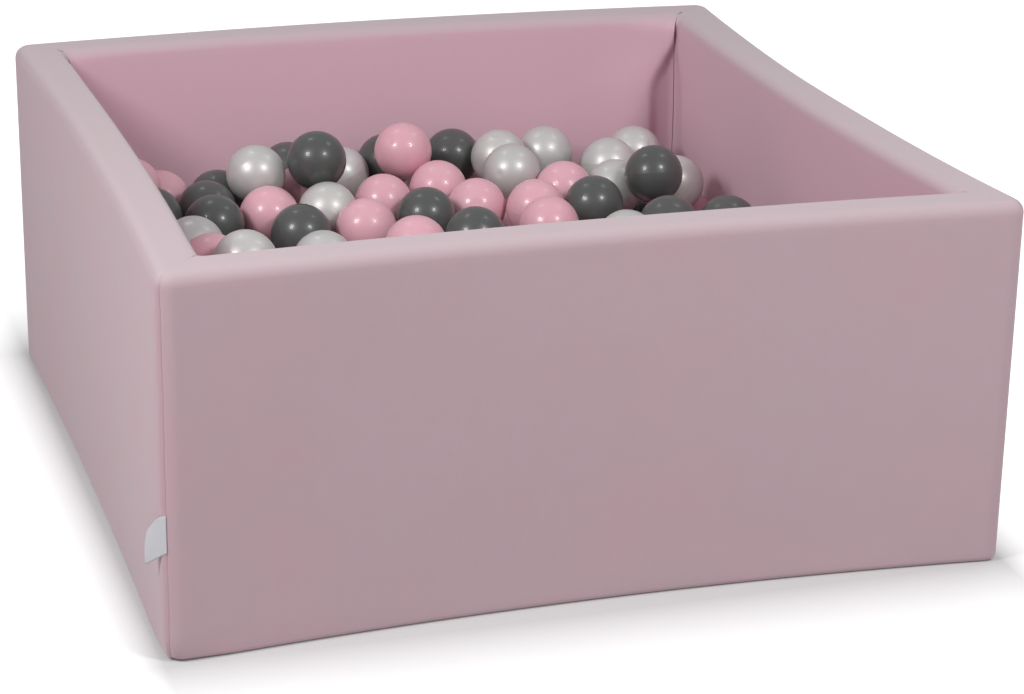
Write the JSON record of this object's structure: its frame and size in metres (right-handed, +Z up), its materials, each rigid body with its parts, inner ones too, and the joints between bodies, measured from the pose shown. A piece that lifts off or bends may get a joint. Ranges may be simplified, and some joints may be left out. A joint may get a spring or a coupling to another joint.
{
  "type": "ball pit",
  "caption": "Square soft play pit with foam walls in a sewn jersey cover, filled with loose plastic balls that lift out; zip with a running slider at the back.",
  "frame": {"origin": "centre of the underside, on the face that it rests on", "axes": "+Z up, front wall faces -Y, zip along the back wall on the +Y side"},
  "size_m": [0.9115, 0.9195, 0.4],
  "materials": {
    "jersey": "matte fine knit",
    "foam": "matte open cell foam",
    "zip_tape": "matte woven tape",
    "zip_metal": "satin",
    "label": "smooth satin tape",
    "ball_pink": "gloss",
    "ball_pearl": "pearl gloss",
    "ball_grey": "gloss"
  },
  "bodies": {
    "pit": {"cover_front_panel": "jersey", "cover_right_panel": "jersey", "cover_back_panel": "jersey", "cover_left_panel": "jersey", "cover_base_panel": "jersey", "cover_floor_panel": "jersey", "foam_wall_front": "foam", "foam_wall_right": "foam", "foam_wall_back": "foam", "foam_wall_left": "foam", "foam_floor": "foam", "zip_tape": "zip_tape", "zip_coil": "zip_tape", "side_label": "label", "ball_bed": "ball_grey", "ball_01_pearl": "ball_pearl", "ball_03_grey": "ball_grey", "ball_04_pink": "ball_pink", "ball_05_grey": "ball_grey", "ball_06_grey": "ball_grey", "ball_09_pearl": "ball_pearl", "ball_13_grey": "ball_grey", "ball_14_pink": "ball_pink", "ball_16_pink": "ball_pink", "ball_17_pink": "ball_pink", "ball_18_pearl": "ball_pearl", "ball_19_grey": "ball_grey", "ball_20_grey": "ball_grey", "ball_23_pink": "ball_pink", "ball_25_pearl": "ball_pearl", "ball_33_pink": "ball_pink", "ball_38_pearl": "ball_pearl"},
    "slider": {"zip_slider": "zip_metal"},
    "pull": {"zip_pull_tab": "zip_metal"},
    "loose_02": {"ball_02_grey": "ball_grey"},
    "loose_07": {"ball_07_pearl": "ball_pearl"},
    "loose_08": {"ball_08_pearl": "ball_pearl"},
    "loose_10": {"ball_10_pearl": "ball_pearl"},
    "loose_11": {"ball_11_pearl": "ball_pearl"},
    "loose_12": {"ball_12_pink": "ball_pink"},
    "loose_15": {"ball_15_pink": "ball_pink"},
    "loose_21": {"ball_21_grey": "ball_grey"},
    "loose_22": {"ball_22_grey": "ball_grey"},
    "loose_24": {"ball_24_pink": "ball_pink"},
    "loose_26": {"ball_26_grey": "ball_grey"},
    "loose_27": {"ball_27_grey": "ball_grey"},
    "loose_28": {"ball_28_pink": "ball_pink"},
    "loose_29": {"ball_29_pink": "ball_pink"},
    "loose_30": {"ball_30_grey": "ball_grey"},
    "loose_31": {"ball_31_pearl": "ball_pearl"},
    "loose_32": {"ball_32_pearl": "ball_pearl"},
    "loose_34": {"ball_34_pearl": "ball_pearl"},
    "loose_35": {"ball_35_pink": "ball_pink"},
    "loose_36": {"ball_36_grey": "ball_grey"},
    "loose_37": {"ball_37_pink": "ball_pink"},
    "loose_39": {"ball_39_pearl": "ball_pearl"},
    "loose_40": {"ball_40_grey": "ball_grey"},
    "loose_41": {"ball_41_pink": "ball_pink"},
    "loose_42": {"ball_42_pearl": "ball_pearl"},
    "loose_43": {"ball_43_grey": "ball_grey"}
  },
  "joints": [
    {"name": "zip_run", "type": "slide", "parent": "pit", "child": "slider", "axis": [-1, 0, 0], "range_m": [0, 0.72]},
    {"name": "pull_turn", "type": "hinge", "parent": "slider", "child": "pull", "pos_m": [0.36, 0.4568, 0.03], "axis": [0, 0, -1], "range_deg": [0, 170]},
    {"name": "lift_02", "type": "slide", "parent": "pit", "child": "loose_02", "axis": [0, 0, 1], "range_m": [0, 0.25]},
    {"name": "lift_07", "type": "slide", "parent": "pit", "child": "loose_07", "axis": [0, 0, 1], "range_m": [0, 0.25]},
    {"name": "lift_08", "type": "slide", "parent": "pit", "child": "loose_08", "axis": [0, 0, 1], "range_m": [0, 0.25]},
    {"name": "lift_10", "type": "slide", "parent": "pit", "child": "loose_10", "axis": [0, 0, 1], "range_m": [0, 0.25]},
    {"name": "lift_11", "type": "slide", "parent": "pit", "child": "loose_11", "axis": [0, 0, 1], "range_m": [0, 0.25]},
    {"name": "lift_12", "type": "slide", "parent": "pit", "child": "loose_12", "axis": [0, 0, 1], "range_m": [0, 0.25]},
    {"name": "lift_15", "type": "slide", "parent": "pit", "child": "loose_15", "axis": [0, 0, 1], "range_m": [0, 0.25]},
    {"name": "lift_21", "type": "slide", "parent": "pit", "child": "loose_21", "axis": [0, 0, 1], "range_m": [0, 0.25]},
    {"name": "lift_22", "type": "slide", "parent": "pit", "child": "loose_22", "axis": [0, 0, 1], "range_m": [0, 0.25]},
    {"name": "lift_24", "type": "slide", "parent": "pit", "child": "loose_24", "axis": [0, 0, 1], "range_m": [0, 0.25]},
    {"name": "lift_26", "type": "slide", "parent": "pit", "child": "loose_26", "axis": [0, 0, 1], "range_m": [0, 0.25]},
    {"name": "lift_27", "type": "slide", "parent": "pit", "child": "loose_27", "axis": [0, 0, 1], "range_m": [0, 0.25]},
    {"name": "lift_28", "type": "slide", "parent": "pit", "child": "loose_28", "axis": [0, 0, 1], "range_m": [0, 0.25]},
    {"name": "lift_29", "type": "slide", "parent": "pit", "child": "loose_29", "axis": [0, 0, 1], "range_m": [0, 0.25]},
    {"name": "lift_30", "type": "slide", "parent": "pit", "child": "loose_30", "axis": [0, 0, 1], "range_m": [0, 0.25]},
    {"name": "lift_31", "type": "slide", "parent": "pit", "child": "loose_31", "axis": [0, 0, 1], "range_m": [0, 0.25]},
    {"name": "lift_32", "type": "slide", "parent": "pit", "child": "loose_32", "axis": [0, 0, 1], "range_m": [0, 0.25]},
    {"name": "lift_34", "type": "slide", "parent": "pit", "child": "loose_34", "axis": [0, 0, 1], "range_m": [0, 0.25]},
    {"name": "lift_35", "type": "slide", "parent": "pit", "child": "loose_35", "axis": [0, 0, 1], "range_m": [0, 0.25]},
    {"name": "lift_36", "type": "slide", "parent": "pit", "child": "loose_36", "axis": [0, 0, 1], "range_m": [0, 0.25]},
    {"name": "lift_37", "type": "slide", "parent": "pit", "child": "loose_37", "axis": [0, 0, 1], "range_m": [0, 0.25]},
    {"name": "lift_39", "type": "slide", "parent": "pit", "child": "loose_39", "axis": [0, 0, 1], "range_m": [0, 0.25]},
    {"name": "lift_40", "type": "slide", "parent": "pit", "child": "loose_40", "axis": [0, 0, 1], "range_m": [0, 0.25]},
    {"name": "lift_41", "type": "slide", "parent": "pit", "child": "loose_41", "axis": [0, 0, 1], "range_m": [0, 0.25]},
    {"name": "lift_42", "type": "slide", "parent": "pit", "child": "loose_42", "axis": [0, 0, 1], "range_m": [0, 0.25]},
    {"name": "lift_43", "type": "slide", "parent": "pit", "child": "loose_43", "axis": [0, 0, 1], "range_m": [0, 0.25]}
  ]
}
